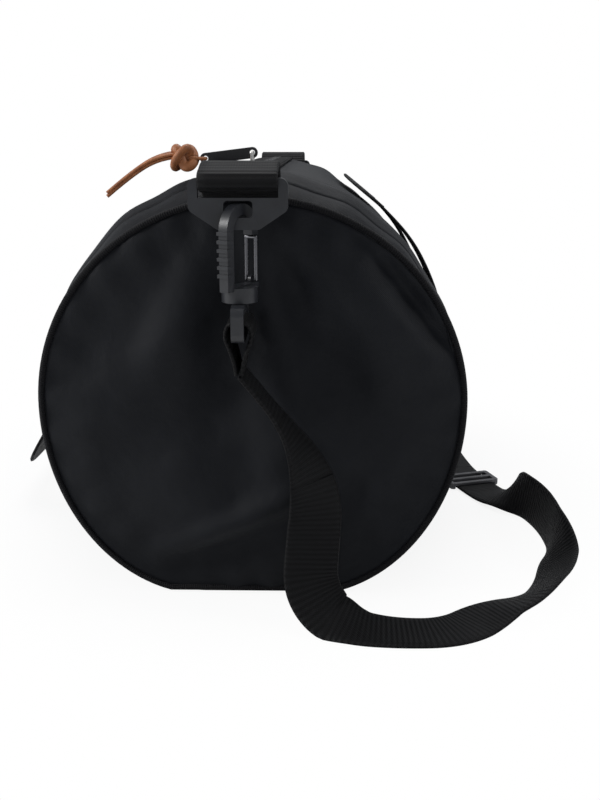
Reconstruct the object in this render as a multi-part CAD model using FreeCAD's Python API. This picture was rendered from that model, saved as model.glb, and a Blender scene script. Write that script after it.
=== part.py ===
import FreeCAD, Part
import math
import os

# A soft barrel duffel bag lying on its flat base. The barrel runs along Y, the near end is at -Y,
# the floor is z = 0 and +Z is up. Millimetres throughout.

V = FreeCAD.Vector
X_AXIS = V(1, 0, 0)
Y_AXIS = V(0, 1, 0)
Z_AXIS = V(0, 0, 1)

# ---- driving dimensions: shell ----
LENGTH = 520.0            # outer faces of the two end panels
HALF_WIDTH = 145.0        # barrel's half width at its widest line
WIDEST_Z = 138.0          # height of the widest line
ROOF_Z = 296.0            # top of the barrel's roof cloth
BASE_HALF = 35.0          # half width of the flat strip that lies on the floor
END_INSET = 1.0           # how much narrower each side is at the end seam
END_ROOF_Z = 278.0        # top of the end seam
TAPER = 35.0              # length over which the roof falls to the end seam
WALL = 2.5                # cloth, foam and lining together
BASE_TOP_Z = 14.0         # the base panel's upper edge
PIPING = 2.6              # how far the piping stands out of the seam
PIPING_WIDTH = 4.0

# ---- driving dimensions: mouth and zip ----
END_RUN = 52.0            # fixed roof at each end, from the lips to the end panel's face
MOUTH_HALF = LENGTH / 2 - END_RUN  # half length of the two lips that the zip joins
FOLD_Z = 120.0            # height of the line about which a lip folds outwards
LIP_GAP = 12.0            # half gap between the two lips' cloth edges, under the zip tape
TAPE_OUTER = 17.0         # zip tape, from the centre line
TAPE_THICK = 1.2
BEAD_INNER = 1.1          # coil bead of the zip, from the centre line
BEAD_WIDTH = 2.4
BEAD_HEIGHT = 3.2
BEAD_REACH = 8.0          # how far the coil runs on past each lip, along the fixed roof
TAPE_REACH = 18.0         # how far the tape runs on there
SLIDER_WIDTH = 13.0
SLIDER_LENGTH = 20.0
SLIDER_PLATE = 1.9
SLIDER_GAP = 0.4          # between the bead and the slider's plates
POST_WIDTH = 1.6
SLIDER_INSET = 37.0       # from the end panel's face to the slider's middle with the zip closed
BRIDGE_BAR_R = 1.2
BRIDGE_HEIGHT = 6.5
BRIDGE_SPAN = 11.0
PULL_LENGTH = 36.0
PULL_WIDTH = 7.5
PULL_THICK = 2.4
PULL_DROP = 7.0           # degrees that the pull bar slopes down to the left
PULL_HOLE_R = 1.8
THONG_R = 1.2
KNOT_R = 10.5
TAIL_LENGTH = 56.0
TAIL_WIDTH = 9.0
TAIL_THICK = 4.0

# ---- driving dimensions: webbing and end hardware ----
WEB_THICK = 2.4
TAB_WIDTH = 50.0
STRAP_WIDTH = 38.0
HANDLE_WIDTH = 38.0
HANDLE_SPREAD = 75.0      # from the bag's middle to the middle of each handle leg
PATCH_LENGTH = 36.0
PATCH_TOP_Z = 162.0
HARDWARE_X = -5.0         # the near end's hardware hangs a little left of the middle
RING_STANDOFF = 28.0      # from the end panel's face to the ring's middle plane
BAR_LIFT = 12.5           # from the top of the end seam to the axis of the ring's top bar
BAR_R = 2.5
RING_HALF = 31.0
RING_THICK = 5.0
RING_RAIL = 6.0           # side rails of the ring
SLOT_DROP = 9.5           # from the bar's axis to the plate below the webbing slot
RING_DROP = 29.0          # from the bar's axis to the ring's lowest edge
RING_FOOT_HALF = 13.0
HOLE_HALF = 9.0           # hook hole in the ring's plate
HOLE_TOP_DROP = 11.2
HOLE_FLOOR_DROP = 21.5
HOOK_TURN = 60.0          # degrees between the hook's plane and the ring's plane
HOOK_THICK = 6.4
HOOK_INNER = 10.0         # half width of the hook's throat
HOOK_LIFT = 1.6           # from the ring's rail to the middle of the hook's curl
HOOK_SPINE = 9.0
HOOK_CURL = 7.0           # thickness of the curl that passes through the ring
HOOK_HEIGHT = 61.0        # from the crown of the hook to the bottom of its collar
COLLAR_R = 11.5
COLLAR_HEIGHT = 9.5
NOSE_DROP = 20.0          # from the crown to the tip of the nose
GATE_WIRE_R = 1.2
GATE_HALF = 2.4           # half spread of the gate's two wires
GATE_OPEN = 22.0
STEM_R = 3.4
STEM_BORE_R = 3.45        # running fit of the swivel's stem
EYE_WIDTH = 42.0          # inside width of the swivel eye, for the strap
EYE_ROD = 4.0             # half thickness of the eye's rod
EYE_DROP = 19.0           # from the collar to the axis of the eye's bottom rod

GAP = 0.3                 # between curved faces of pieces that move
SEAT = 0.1                # between cloth layers of one body

HALF_LENGTH = LENGTH / 2
SLIDER_Y = SLIDER_INSET - HALF_LENGTH
RING_Y = -HALF_LENGTH - RING_STANDOFF
BAR_Z = END_ROOF_Z + BAR_LIFT
OUT_DIR = "parts"


# ---- small helpers ----
def block(x0, x1, y0, y1, z0, z1):
    return Part.makeBox(x1 - x0, y1 - y0, z1 - z0, V(x0, y0, z0))


def rod(start, end, radius):
    axis = end.sub(start)
    return Part.makeCylinder(radius, axis.Length, start, axis)


def fused(shapes):
    whole = shapes[0]
    if len(shapes) > 1:
        whole = whole.multiFuse(shapes[1:])
    return whole.removeSplitter()


def turned(shape, centre, axis, degrees):
    copy = shape.copy()
    copy.rotate(centre, axis, degrees)
    return copy


def far_side(shape):
    """The same piece at the other end: half a turn about the bag's upright middle line."""
    return turned(shape, V(0, 0, 0), Z_AXIS, 180)


def save(name, shape):
    shape.exportStep(f"{OUT_DIR}/{name}.step")
    box = shape.BoundBox
    solids = len(shape.Solids)
    print(f"{name}: {solids} solid, valid {shape.isValid()}, {shape.Volume / 1000:.2f} cm3, "
          f"X {box.XMin:.1f}..{box.XMax:.1f} Y {box.YMin:.1f}..{box.YMax:.1f} Z {box.ZMin:.1f}..{box.ZMax:.1f}")


# ---- webbing: a flat section carried along straight runs and tangent arcs ----
def legs(points, radii):
    """Straight runs and arcs of a route: ("run", start, end) and ("arc", start, centre, axis, angle)."""
    found = []
    here = points[0]
    for i in range(1, len(points) - 1):
        back = points[i - 1].sub(points[i])
        ahead = points[i + 1].sub(points[i])
        turn = math.pi - back.getAngle(ahead)
        shorter = min(back.Length, ahead.Length)
        radius = radii.get(i, 0.45 * shorter / math.tan(turn / 2))
        cut = radius * math.tan(turn / 2)
        back.normalize()
        ahead.normalize()
        start = points[i].add(back.multiply(cut))
        back.normalize()
        axis = back.cross(ahead)
        axis.normalize()
        axis.multiply(-1)
        inward = axis.cross(back.multiply(-1))
        centre = start.add(inward.multiply(radius))
        found.append(("run", here, start))
        found.append(("arc", start, centre, axis, math.degrees(turn), radius))
        here = points[i].add(ahead.multiply(cut))
    found.append(("run", here, points[-1]))
    return found


def webbing(points, width_way, width, thick, radii={}, label=""):
    """One solid per run and arc, and the route's length. The width starts along width_way."""
    solids = []
    length = 0.0
    across = V(width_way)
    along = points[1].sub(points[0])
    along.normalize()
    across = across.sub(V(along).multiply(across.dot(along)))
    across.normalize()
    for leg in legs(points, radii):
        start = leg[1]
        if leg[0] == "run":
            along = leg[2].sub(start)
            reach = along.Length
            along.normalize()
        up = along.cross(across)
        corners = []
        for side, lift in ((-1, -1), (1, -1), (1, 1), (-1, 1), (-1, -1)):
            corners.append(start + across * (side * width / 2) + up * (lift * thick / 2))
        face = Part.Face(Part.makePolygon(corners))
        if leg[0] == "run":
            solids.append(face.extrude(along * reach))
            length += reach
        else:
            _, _, centre, axis, angle, radius = leg
            solids.append(face.revolve(centre, axis, angle))
            length += radius * math.radians(angle)
            swing = FreeCAD.Rotation(axis, angle)
            along = swing.multVec(along)
            across = swing.multVec(across)
            if label:
                print(f"{label}: radius {radius:.0f} mm, turn {angle:.0f} degrees")
    return solids, length


def strip(points, width_way, width, thick, radii={}):
    return fused(webbing(points, width_way, width, thick, radii)[0])


# ---- shell ----
def outline(y, margin):
    """The barrel's closed outline in the plane at y, grown by margin: a flat foot, two quarter ellipses and a roof."""
    share = max(0.0, (abs(y) - (HALF_LENGTH - TAPER)) / TAPER)
    half = HALF_WIDTH - END_INSET * share + margin
    top = ROOF_Z - (ROOF_Z - END_ROOF_Z) * share + margin
    side = []
    for k in range(9):
        a = math.pi / 2 * k / 8
        x = BASE_HALF + (half - BASE_HALF) * math.sin(a)
        side.append(V(x, y, WIDEST_Z - (WIDEST_Z + margin) * math.cos(a)))
    for k in range(1, 10):
        a = math.pi / 2 * k / 9
        side.append(V(half * math.cos(a), y, WIDEST_Z + (top - WIDEST_Z) * math.sin(a)))
    mirrored = [V(-p.x, p.y, p.z) for p in reversed(side[:-1])]
    curve = Part.BSplineCurve()
    curve.interpolate(side + mirrored)
    foot = Part.LineSegment(mirrored[-1], side[0]).toShape()
    return Part.Wire([curve.toShape(), foot])


def barrel(margin, y0, y1):
    """The outline's solid between two planes, drawn in over the taper at each end."""
    knee = HALF_LENGTH - TAPER
    stations = [y0] + [y for y in (-knee, knee) if y0 < y < y1] + [y1]
    pieces = []
    for a, b in zip(stations, stations[1:]):
        pieces.append(Part.makeLoft([outline(a, margin), outline(b, margin)], True, True))
    return fused(pieces)


def shell_between(y0, y1):
    return barrel(0, y0, y1).cut(barrel(-WALL, y0 - 1, y1 + 1))


def roof_at(x):
    """Height of the roof's outer face away from the ends."""
    return WIDEST_Z + (ROOF_Z - WIDEST_Z) * math.sqrt(1 - (x / HALF_WIDTH) ** 2)


def build_shell():
    inner_half = HALF_LENGTH - WALL
    whole = shell_between(-inner_half, inner_half)
    far_out = HALF_WIDTH + 20
    save("base_panel", whole.common(block(-far_out, far_out, -LENGTH, LENGTH, -1, BASE_TOP_Z)))
    for name, way in (("left", -1), ("right", 1)):
        low_x, high_x = sorted((0, way * far_out))
        lower = block(low_x, high_x, -LENGTH, LENGTH, BASE_TOP_Z, FOLD_Z - GAP)
        save(f"side_panel_{name}", whole.common(lower))
        edge_low, edge_high = sorted((way * LIP_GAP, way * far_out))
        lip = block(edge_low, edge_high, -MOUTH_HALF, MOUTH_HALF, FOLD_Z, ROOF_Z + 5)
        save(f"lip_{name}", whole.common(lip))
    near_end = block(-far_out, far_out, -LENGTH, -MOUTH_HALF - GAP, FOLD_Z - GAP, ROOF_Z + 5)
    garage = block(-LIP_GAP, LIP_GAP, -HALF_LENGTH + 18, 0, ROOF_Z - 40, ROOF_Z + 5)
    gusset = whole.common(near_end).cut(garage)
    save("roof_gusset_near", gusset)
    save("roof_gusset_far", far_side(gusset))
    panel = barrel(0, -HALF_LENGTH, -inner_half)
    save("end_panel_near", panel)
    save("end_panel_far", far_side(panel))
    rim = barrel(PIPING, -HALF_LENGTH, -HALF_LENGTH + PIPING_WIDTH)
    rim = rim.cut(barrel(SEAT, -HALF_LENGTH - 1, -HALF_LENGTH + PIPING_WIDTH + 1))
    rim = rim.common(block(-far_out, far_out, -LENGTH, 0, BASE_TOP_Z, ROOF_Z + 5))
    save("piping_near", rim)
    save("piping_far", far_side(rim))


# ---- zip ----
TAPE_Z = ROOF_Z + 0.3
BEAD_Z = TAPE_Z + TAPE_THICK / 2 - BEAD_HEIGHT / 2
LOW_PLATE_TOP = BEAD_Z - SLIDER_GAP
HIGH_PLATE_Z = BEAD_Z + BEAD_HEIGHT + SLIDER_GAP
BRIDGE_Z = HIGH_PLATE_Z + SLIDER_PLATE + BRIDGE_HEIGHT
ZIP_TRAVEL = 2 * abs(SLIDER_Y)


def build_zip():
    for name, way in (("left", -1), ("right", 1)):
        inner, outer = sorted((way * (BEAD_INNER + BEAD_WIDTH + SEAT), way * TAPE_OUTER))
        tape = block(inner, outer, -MOUTH_HALF, MOUTH_HALF, TAPE_Z, TAPE_Z + TAPE_THICK)
        save(f"zip_tape_{name}", tape)
        low, high = sorted((way * BEAD_INNER, way * (BEAD_INNER + BEAD_WIDTH)))
        save(f"zip_coil_{name}", block(low, high, -MOUTH_HALF, MOUTH_HALF, BEAD_Z, BEAD_Z + BEAD_HEIGHT))
        for end, side in (("near", -1), ("far", 1)):
            tape_ys = sorted((side * (MOUTH_HALF + GAP), side * (MOUTH_HALF + TAPE_REACH)))
            bead_ys = sorted((side * (MOUTH_HALF + GAP), side * (MOUTH_HALF + BEAD_REACH)))
            reach = sorted((way * (BEAD_INNER + BEAD_WIDTH), way * TAPE_OUTER))
            tape_end = block(*reach, *tape_ys, TAPE_Z, TAPE_Z + TAPE_THICK)
            bead_end = block(low, high, *bead_ys, BEAD_Z, BEAD_Z + BEAD_HEIGHT)
            save(f"zip_end_{name}_{end}", fused([tape_end, bead_end]))
    plates = []
    for z in (LOW_PLATE_TOP - SLIDER_PLATE, HIGH_PLATE_Z):
        plate = block(-SLIDER_WIDTH / 2, SLIDER_WIDTH / 2, SLIDER_Y - SLIDER_LENGTH / 2,
                      SLIDER_Y + SLIDER_LENGTH / 2, z, z + SLIDER_PLATE)
        upright = [e for e in plate.Edges if abs(e.tangentAt(e.FirstParameter).z) > 0.9]
        plates.append(plate.makeFillet(3.0, upright))
    post = rod(V(0, SLIDER_Y, LOW_PLATE_TOP - 1), V(0, SLIDER_Y, HIGH_PLATE_Z + 1), POST_WIDTH / 2)
    save("slider_body", fused(plates + [post]))
    foot_z = HIGH_PLATE_Z + SLIDER_PLATE
    half = BRIDGE_SPAN / 2
    arch = [rod(V(0, SLIDER_Y - half, BRIDGE_Z), V(0, SLIDER_Y + half, BRIDGE_Z), BRIDGE_BAR_R)]
    for y in (SLIDER_Y - half, SLIDER_Y + half):
        arch.append(rod(V(0, y, foot_z), V(0, y, BRIDGE_Z), BRIDGE_BAR_R))
        arch.append(Part.makeSphere(BRIDGE_BAR_R, V(0, y, BRIDGE_Z)))
    save("slider_bridge", fused(arch))

    bar = block(-PULL_LENGTH + 4, 0, SLIDER_Y - PULL_THICK / 2, SLIDER_Y + PULL_THICK / 2,
                BRIDGE_Z - PULL_WIDTH / 2, BRIDGE_Z + PULL_WIDTH / 2)
    ends = []
    for x in (0, -PULL_LENGTH + 4):
        middle = V(x, SLIDER_Y - PULL_THICK / 2, BRIDGE_Z)
        ends.append(Part.makeCylinder(PULL_WIDTH / 2, PULL_THICK, middle, Y_AXIS))
    bar = fused([bar] + ends)
    for x in (0, -PULL_LENGTH + 4):
        bar = bar.cut(rod(V(x, SLIDER_Y - 5, BRIDGE_Z), V(x, SLIDER_Y + 5, BRIDGE_Z), PULL_HOLE_R))
    pivot = V(0, SLIDER_Y, BRIDGE_Z)
    save("pull_tab", turned(bar, pivot, Y_AXIS, -PULL_DROP))

    slope = math.radians(PULL_DROP)
    hole = V(-(PULL_LENGTH - 4) * math.cos(slope), SLIDER_Y, BRIDGE_Z - (PULL_LENGTH - 4) * math.sin(slope))
    half = PULL_THICK / 2 + THONG_R + 0.6
    knot_at = hole.add(V(-KNOT_R - PULL_WIDTH / 2 - 0.6, 0, 0.6))
    leather = [rod(V(hole.x, hole.y - half, hole.z), V(hole.x, hole.y + half, hole.z), THONG_R)]
    for y in (hole.y - half, hole.y + half):
        leather.append(Part.makeSphere(THONG_R, V(hole.x, y, hole.z)))
        leather.append(rod(V(hole.x, y, hole.z), V(knot_at.x, y, knot_at.z), THONG_R))
    leather.append(Part.makeSphere(KNOT_R, knot_at))
    tail_end = V(knot_at.x - TAIL_LENGTH, knot_at.y - 3, knot_at.z - 11)
    route = [knot_at, V(knot_at.x - 26, knot_at.y, knot_at.z + 2), tail_end]
    leather.append(strip(route, Y_AXIS, TAIL_WIDTH, TAIL_THICK))
    save("leather_pull", fused(leather))
    print(f"zip travel {ZIP_TRAVEL:.1f}, pull pivot z {BRIDGE_Z:.2f}, leather pivot {hole.x:.2f} {hole.z:.2f}")


# ---- handles ----
def build_handles():
    skin = HALF_WIDTH + WEB_THICK / 2
    pivot_x = skin + WEB_THICK + SEAT
    pivot_z = PATCH_TOP_Z + 0.6
    low_x = skin + 3
    spread = HANDLE_SPREAD
    up = [(pivot_x, pivot_z), (low_x + 2, 190), (roof_x(236) + 10, 236), (roof_x(272) + 7, 274)]
    down = [(-pivot_x, pivot_z), (-pivot_x - 14, 132), (-pivot_x - 34, 88), (-pivot_x - 60, 44)]
    for name, way, leg in (("right", 1, up), ("left", -1, down)):
        route = [V(x, -spread, z) for x, z in leg] + [V(x, spread, z) for x, z in reversed(leg)]
        save(f"handle_{name}", strip(route, Y_AXIS, HANDLE_WIDTH, WEB_THICK))
        for end, y in (("near", -spread), ("far", spread)):
            x0, x1 = sorted((way * (HALF_WIDTH + SEAT), way * (HALF_WIDTH + SEAT + WEB_THICK)))
            patch = block(x0, x1, y - HANDLE_WIDTH / 2, y + HANDLE_WIDTH / 2,
                          PATCH_TOP_Z - PATCH_LENGTH, PATCH_TOP_Z)
            save(f"handle_patch_{name}_{end}", patch)
    print(f"handle pivots x {pivot_x:.2f} z {pivot_z:.2f}")


def roof_x(z):
    """Half width of the roof's outer face at height z, away from the ends."""
    return HALF_WIDTH * math.sqrt(max(0.0, 1 - ((z - WIDEST_Z) / (ROOF_Z - WIDEST_Z)) ** 2))


# ---- end hardware, drawn at the near end ----
def end_tab():
    """Webbing that lies on the roof's end, stands over the seam, goes round the ring's bar and back."""
    wrap = BAR_R + GAP + 0.2 + WEB_THICK / 2
    front = RING_Y - wrap
    points = [V(HARDWARE_X, -HALF_LENGTH + 15.5, END_ROOF_Z + 12.0),
              V(HARDWARE_X, -HALF_LENGTH + 4, END_ROOF_Z + 23.0),
              V(HARDWARE_X, RING_Y + 6, BAR_Z + 9.5),
              V(HARDWARE_X, front - 0.5, BAR_Z + wrap),
              V(HARDWARE_X, front - 0.5, BAR_Z - wrap),
              V(HARDWARE_X, -HALF_LENGTH - WEB_THICK / 2 - 8, BAR_Z - wrap - 1),
              V(HARDWARE_X, -HALF_LENGTH - 0.9, BAR_Z - wrap - 7)]
    radii = {3: wrap - 0.2, 4: wrap - 0.2}
    return strip(points, X_AXIS, TAB_WIDTH, WEB_THICK, radii)


def end_ring():
    """A moulded shield: a round bar for the webbing, a slot, and a plate with the hook's hole."""
    plate_top = BAR_Z - SLOT_DROP
    foot_z = BAR_Z - RING_DROP
    shoulder_z = BAR_Z - 17
    x = HARDWARE_X
    corners = [V(x - RING_HALF, 0, BAR_Z + BAR_R), V(x + RING_HALF, 0, BAR_Z + BAR_R),
               V(x + RING_HALF, 0, shoulder_z), V(x + RING_FOOT_HALF, 0, foot_z),
               V(x - RING_FOOT_HALF, 0, foot_z), V(x - RING_HALF, 0, shoulder_z),
               V(x - RING_HALF, 0, BAR_Z + BAR_R)]
    face = Part.Face(Part.makePolygon(corners))
    plate = face.extrude(V(0, RING_THICK, 0))
    plate.translate(V(0, RING_Y - RING_THICK / 2, 0))
    upright = [e for e in plate.Edges if abs(e.tangentAt(e.FirstParameter).y) > 0.9]
    plate = plate.makeFillet(5.0, upright)
    inner = RING_HALF - RING_RAIL
    slot = block(x - inner, x + inner, RING_Y - 10, RING_Y + 10, plate_top, BAR_Z + BAR_R + 1)
    hole = block(x - HOLE_HALF, x + HOLE_HALF, RING_Y - 10, RING_Y + 10,
                 BAR_Z - HOLE_FLOOR_DROP, BAR_Z - HOLE_TOP_DROP)
    rims = [e for e in hole.Edges if abs(e.tangentAt(e.FirstParameter).y) > 0.9]
    bar = rod(V(x - inner - 1, RING_Y, BAR_Z), V(x + inner + 1, RING_Y, BAR_Z), BAR_R)
    return fused([plate.cut(slot).cut(hole.makeFillet(2.5, rims)), bar])


HOOK_CROWN_Z = BAR_Z - HOLE_FLOOR_DROP + HOOK_LIFT + HOOK_CURL
COLLAR_Z = HOOK_CROWN_Z - HOOK_HEIGHT
HOOK_AXIS = V(HARDWARE_X, RING_Y, 0)
GATE_X = HOOK_INNER + HOOK_CURL / 2
GATE_PIVOT_Z = COLLAR_Z + COLLAR_HEIGHT + 3.0


def hook_place(shape):
    """From the hook's own plane, XZ about its axis, to where it hangs."""
    copy = turned(shape, V(0, 0, 0), Z_AXIS, HOOK_TURN)
    copy.translate(HOOK_AXIS)
    return copy


def hook_point(x, y, z):
    a = math.radians(HOOK_TURN)
    return V(x * math.cos(a) - y * math.sin(a), x * math.sin(a) + y * math.cos(a), z).add(HOOK_AXIS)


def end_hook():
    """Spine, curl and nose in one moulding on a round collar with the swivel's bore."""
    half = HOOK_THICK / 2
    top = HOOK_CROWN_Z
    base = COLLAR_Z + COLLAR_HEIGHT
    throat_top = top - HOOK_CURL
    outer = HOOK_INNER + HOOK_CURL
    curl = Part.makeCylinder(outer, HOOK_THICK, V(0, -half, top - outer), Y_AXIS)
    curl = curl.common(block(-40, 40, -20, 20, top - outer, top + 1))
    spine = block(-HOOK_INNER - HOOK_SPINE + 2, -HOOK_INNER, -half, half, base - 2, top - outer)
    nose = block(HOOK_INNER, outer, -half, half, top - NOSE_DROP, top - outer)
    throat = Part.makeCylinder(HOOK_INNER, 40, V(0, -20, throat_top - HOOK_INNER), Y_AXIS)
    body = fused([curl, spine, nose]).cut(throat)
    collar = Part.makeCylinder(COLLAR_R, COLLAR_HEIGHT, V(0, 0, COLLAR_Z), Z_AXIS)
    foot = block(-outer, outer, -half, half, base - 2, base + 1.2)
    stem = Part.makeCylinder(STEM_BORE_R, 60, V(0, 0, COLLAR_Z - 5), Z_AXIS)
    well = stem.common(block(-40, 40, -40, 40, COLLAR_Z - 5, base + 1.0))
    lug = Part.makeCylinder(2.6, 2 * GATE_HALF - 2 * GATE_WIRE_R - 2 * GAP + 0.4,
                            V(GATE_X, -GATE_HALF + GATE_WIRE_R + GAP - 0.2, GATE_PIVOT_Z), Y_AXIS)
    ridges = []
    for k in range(6):
        z = base + 7 + 5.2 * k
        ridges.append(block(-HOOK_INNER - HOOK_SPINE + 0.8, -HOOK_INNER - 3, -half - 0.8, half + 0.8, z, z + 2.2))
    whole = fused([body, collar, foot, lug] + ridges).cut(well)
    return hook_place(whole)


def end_gate():
    """A bent wire: two legs from the pivot on the collar up to a crossbar behind the nose."""
    tip = HOOK_CROWN_Z - NOSE_DROP - GATE_WIRE_R - GAP
    parts = []
    for y in (-GATE_HALF - GATE_WIRE_R, GATE_HALF + GATE_WIRE_R):
        parts.append(rod(V(GATE_X, y, GATE_PIVOT_Z), V(GATE_X, y, tip), GATE_WIRE_R))
        parts.append(Part.makeSphere(GATE_WIRE_R, V(GATE_X, y, tip)))
        parts.append(Part.makeSphere(GATE_WIRE_R, V(GATE_X, y, GATE_PIVOT_Z)))
    half = GATE_HALF + GATE_WIRE_R
    parts.append(rod(V(GATE_X, -half, tip), V(GATE_X, half, tip), GATE_WIRE_R))
    return hook_place(fused(parts))


EYE_Z = COLLAR_Z - EYE_DROP


def end_swivel():
    """The stem that turns in the collar and the wide eye for the strap, in the YZ plane."""
    half = EYE_WIDTH / 2 + EYE_ROD
    top = COLLAR_Z - 0.4
    frame = block(-EYE_ROD, EYE_ROD, -half, half, EYE_Z - EYE_ROD, top)
    window = block(-20, 20, -EYE_WIDTH / 2, EYE_WIDTH / 2, EYE_Z + EYE_ROD, top - 5.0)
    ends = [e for e in frame.Edges if abs(e.tangentAt(e.FirstParameter).x) > 0.9]
    eye = frame.makeFillet(6.0, ends).cut(window)
    stem_top = COLLAR_Z + COLLAR_HEIGHT + 0.6
    stem = Part.makeCylinder(STEM_R, stem_top - top + 2, V(0, 0, top - 2), Z_AXIS)
    piece = fused([eye, stem])
    piece.translate(HOOK_AXIS)
    return piece


def build_ends():
    for name, shape in (("ring_tab", end_tab()), ("ring", end_ring()), ("hook_body", end_hook()),
                        ("hook_gate", end_gate()), ("swivel", end_swivel())):
        save(f"{name}_near", shape)
        save(f"{name}_far", far_side(shape))
    gate = hook_point(GATE_X, 0, GATE_PIVOT_Z)
    print(f"bar z {BAR_Z}, hook crown {HOOK_CROWN_Z:.2f}, collar {COLLAR_Z:.2f}, eye {EYE_Z:.2f}")
    print(f"gate pivot {gate.x:.2f} {gate.y:.2f} {gate.z:.2f}")


# ---- shoulder strap ----
FLOOR = WEB_THICK / 2
LOOP_END_Z = 172.0
ROUTE_TOP_Z = LOOP_END_Z - 1.4
STRAP_ROUTE = [(-5, -288, ROUTE_TOP_Z), (14, -288, 148), (32, -288, 118), (42, -288, 86), (47, -288, 54),
               (62, -288, 21), (88, -288, FLOOR), (118, -288, FLOOR), (148, -295, FLOOR), (180, -291, FLOOR),
               (208, -270, FLOOR), (228, -236, FLOOR), (239, -194, FLOOR), (237, -146, FLOOR), (219, -98, FLOOR),
               (198, -54, FLOOR), (184, -10, FLOOR), (178, 38, FLOOR), (175, 92, FLOOR), (171, 148, FLOOR),
               (160, 206, FLOOR), (140, 250, FLOOR), (112, 276, FLOOR), (80, 288, FLOOR), (52, 288, FLOOR),
               (30, 288, 18), (17, 288, 48), (11, 288, 88), (6, 288, 130), (5, 288, ROUTE_TOP_Z)]
NECK_LEGS = 4             # legs of the route that hang from each swivel, above the falls
FALL_LEGS = 12            # legs from a swivel down to the stretch on the floor
ADJUSTER_AT = V(191, -32, 0)
ADJUSTER_WAY = V(-14, 44, 0)
ADJUSTER_HALF = 13.0
ADJUSTER_BAR = 4.0
ADJUSTER_RAIL = 4.5
ADJUSTER_THICK = 3.0


def eye_loop(way):
    """The strap's sewn end: up, round the swivel's bottom rod and back down, closing on itself."""
    sweep = EYE_ROD + 0.6 + WEB_THICK / 2
    x = HARDWARE_X
    y = RING_Y
    top = EYE_Z + sweep + 1.5
    points = [V(x - 2.0, y, LOOP_END_Z), V(x - sweep - 1.5, y, EYE_Z - 6), V(x - sweep, y, top),
              V(x + sweep, y, top), V(x + sweep + 1.5, y, EYE_Z - 6), V(x + 2.0, y, LOOP_END_Z)]
    radii = {2: sweep * 0.93, 3: sweep * 0.93}
    loop = strip(points, Y_AXIS, STRAP_WIDTH, WEB_THICK, radii)
    return loop if way < 0 else far_side(loop)


def build_strap():
    save("strap_loop_near", eye_loop(-1))
    save("strap_loop_far", eye_loop(1))
    route = [V(*p) for p in STRAP_ROUTE]
    solids, length = webbing(route, Y_AXIS, STRAP_WIDTH, WEB_THICK, label="strap")
    volume = sum(s.Volume for s in solids)
    print(f"strap route {length:.1f} mm, volume over section x length {volume / (STRAP_WIDTH * WEB_THICK * length):.4f}")
    last = len(solids)
    groups = {"strap_neck_near": solids[:NECK_LEGS], "strap_fall_near": solids[NECK_LEGS:FALL_LEGS],
              "strap_floor": solids[FALL_LEGS:last - FALL_LEGS],
              "strap_rise_far": solids[last - FALL_LEGS:last - NECK_LEGS],
              "strap_neck_far": solids[last - NECK_LEGS:]}
    for name, group in groups.items():
        save(name, fused(group))


def build_adjuster():
    """A flat moulded slider frame that rides on the strap where it lies straight."""
    half = STRAP_WIDTH / 2 + 1.0
    z = WEB_THICK + GAP
    outer = block(-half - ADJUSTER_RAIL, half + ADJUSTER_RAIL, -ADJUSTER_HALF, ADJUSTER_HALF, 0, z + ADJUSTER_THICK)
    tunnel = block(-half, half, -50, 50, -1, z)
    slots = []
    room = ADJUSTER_HALF - ADJUSTER_BAR
    for y0, y1 in ((-room, -2.0), (2.0, room)):
        slots.append(block(-half, half, y0, y1, -1, 20))
    upright = [e for e in outer.Edges if abs(e.tangentAt(e.FirstParameter).z) > 0.9]
    frame = outer.makeFillet(3.0, upright).cut(tunnel)
    for slot in slots:
        frame = frame.cut(slot)
    heading = math.degrees(math.atan2(ADJUSTER_WAY.x, ADJUSTER_WAY.y))
    frame = turned(frame, V(0, 0, 0), Z_AXIS, -heading)
    frame.translate(ADJUSTER_AT)
    save("strap_adjuster", frame)


os.makedirs(OUT_DIR, exist_ok=True)
build_shell()
build_zip()
build_handles()
build_ends()
build_strap()
build_adjuster()
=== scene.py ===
import math

import bmesh
import bpy
import numpy as np
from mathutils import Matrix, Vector, noise


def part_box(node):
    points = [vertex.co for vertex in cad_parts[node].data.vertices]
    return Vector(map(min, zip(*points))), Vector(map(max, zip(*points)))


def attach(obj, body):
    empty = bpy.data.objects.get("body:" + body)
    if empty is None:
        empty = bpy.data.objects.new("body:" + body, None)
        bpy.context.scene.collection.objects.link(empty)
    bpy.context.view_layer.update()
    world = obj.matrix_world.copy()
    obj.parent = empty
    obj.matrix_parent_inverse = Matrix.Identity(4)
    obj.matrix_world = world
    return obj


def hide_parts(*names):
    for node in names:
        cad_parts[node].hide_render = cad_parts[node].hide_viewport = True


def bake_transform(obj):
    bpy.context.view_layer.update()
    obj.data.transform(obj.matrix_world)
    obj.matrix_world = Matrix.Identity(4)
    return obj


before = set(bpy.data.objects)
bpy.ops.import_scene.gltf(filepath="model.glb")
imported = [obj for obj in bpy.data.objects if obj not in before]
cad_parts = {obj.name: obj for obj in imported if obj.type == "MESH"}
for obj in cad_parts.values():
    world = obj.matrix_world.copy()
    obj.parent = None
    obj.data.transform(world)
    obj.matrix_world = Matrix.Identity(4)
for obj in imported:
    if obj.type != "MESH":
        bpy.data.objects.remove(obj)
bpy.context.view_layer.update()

# ---- sizes of the object, in metres, as in the solid model ----
HALF_LENGTH = 0.260
HALF_WIDTH = 0.145
WIDEST_Z = 0.138
ROOF_Z = 0.296
END_ROOF_Z = 0.278
BASE_HALF = 0.035
END_INSET = 0.001
TAPER = 0.035
FOLD_Z = 0.120
LIP_GAP = 0.012
LIP_HALF = 0.208
LIP_RIGID = 0.120         # the stretch of each lip that turns as one piece
GARAGE_END = 0.242        # the roof stays open this far out, where the slider stops
STRAP_WIDTH = 0.038
TAB_WIDTH = 0.050
WEB_THICK = 0.0024
HARDWARE_X = -0.005
RING_Y = -0.288
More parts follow.
